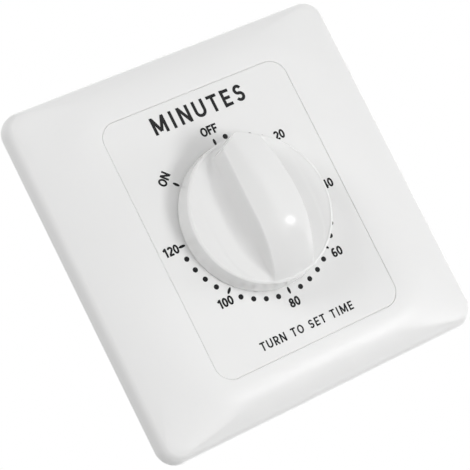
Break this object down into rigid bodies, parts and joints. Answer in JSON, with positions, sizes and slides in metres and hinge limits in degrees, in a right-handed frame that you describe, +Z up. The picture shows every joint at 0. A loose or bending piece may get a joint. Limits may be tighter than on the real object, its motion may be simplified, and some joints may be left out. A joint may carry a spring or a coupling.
{
  "type": "timer light switch",
  "caption": "Square flush wall switch with a convex frame, a minute dial and a large turning knob that winds a clockwork timer and opens a contact at OFF.",
  "frame": {"origin": "centre of the square plate, on the plane of the wall", "axes": "+Z up the wall, +X to the right seen from the front, the dial faces -Y, +Y goes into the wall"},
  "size_m": [0.086, 0.0471, 0.086],
  "materials": {
    "white_plastic": "satin gloss",
    "case_plastic": "matte",
    "gear_plastic": "satin",
    "steel": "zinc plated",
    "brass": "plain",
    "contact_silver": "polished"
  },
  "bodies": {
    "switch_body": {"cover_frame": "white_plastic", "mounting_plate": "white_plastic", "timer_screws": "steel", "front_bush": "brass", "front_plate": "steel", "rear_plate": "steel", "pillars": "steel", "mainspring": "steel", "spring_post": "steel", "stop_pin": "steel", "contact_blade": "brass", "cam_follower": "gear_plastic", "moving_contact": "contact_silver", "blade_rivets": "steel", "line_terminal": "brass", "load_terminal": "brass", "fixed_contact": "contact_silver", "clamp_washers": "steel", "terminal_screws": "steel", "case": "case_plastic", "case_screws": "steel"},
    "rotor": {"knob": "white_plastic", "knob_clip": "steel", "main_arbor": "steel", "main_wheel": "gear_plastic", "clutch_washer": "steel", "retaining_ring": "steel", "switch_cam": "gear_plastic"},
    "second": {"second_wheel": "gear_plastic"},
    "third": {"third_wheel": "gear_plastic"},
    "fourth": {"fourth_wheel": "gear_plastic"},
    "escape": {"escape_wheel": "gear_plastic"},
    "pallet": {"pallet_lever": "steel"}
  },
  "joints": [
    {"name": "knob_turn", "type": "hinge", "parent": "switch_body", "child": "rotor", "pos_m": [0, 0, 0], "axis": [0, 1, 0], "range_deg": [-45, 270], "deforming": ["mainspring", "contact_blade", "cam_follower", "moving_contact"]},
    {"name": "second_spin", "type": "hinge", "parent": "switch_body", "child": "second", "pos_m": [-0.01032, 0, -0.00723], "axis": [0, 1, 0], "continuous": true},
    {"name": "third_spin", "type": "hinge", "parent": "switch_body", "child": "third", "pos_m": [-0.00167, 0, -0.01263], "axis": [0, 1, 0], "continuous": true},
    {"name": "fourth_spin", "type": "hinge", "parent": "switch_body", "child": "fourth", "pos_m": [0.0067, 0, -0.0119], "axis": [0, 1, 0], "continuous": true},
    {"name": "escape_spin", "type": "hinge", "parent": "switch_body", "child": "escape", "pos_m": [0.0121, 0, -0.00547], "axis": [0, 1, 0], "continuous": true},
    {"name": "pallet_swing", "type": "hinge", "parent": "switch_body", "child": "pallet", "pos_m": [0.01375, 0, 0.00072], "axis": [0, 1, 0], "range_deg": [-5, 5]}
  ],
  "couplings": [
    {"joint": "second_spin", "follows": "knob_turn", "ratio": -5},
    {"joint": "third_spin", "follows": "knob_turn", "ratio": 25},
    {"joint": "fourth_spin", "follows": "knob_turn", "ratio": -125},
    {"joint": "escape_spin", "follows": "knob_turn", "ratio": 625}
  ]
}
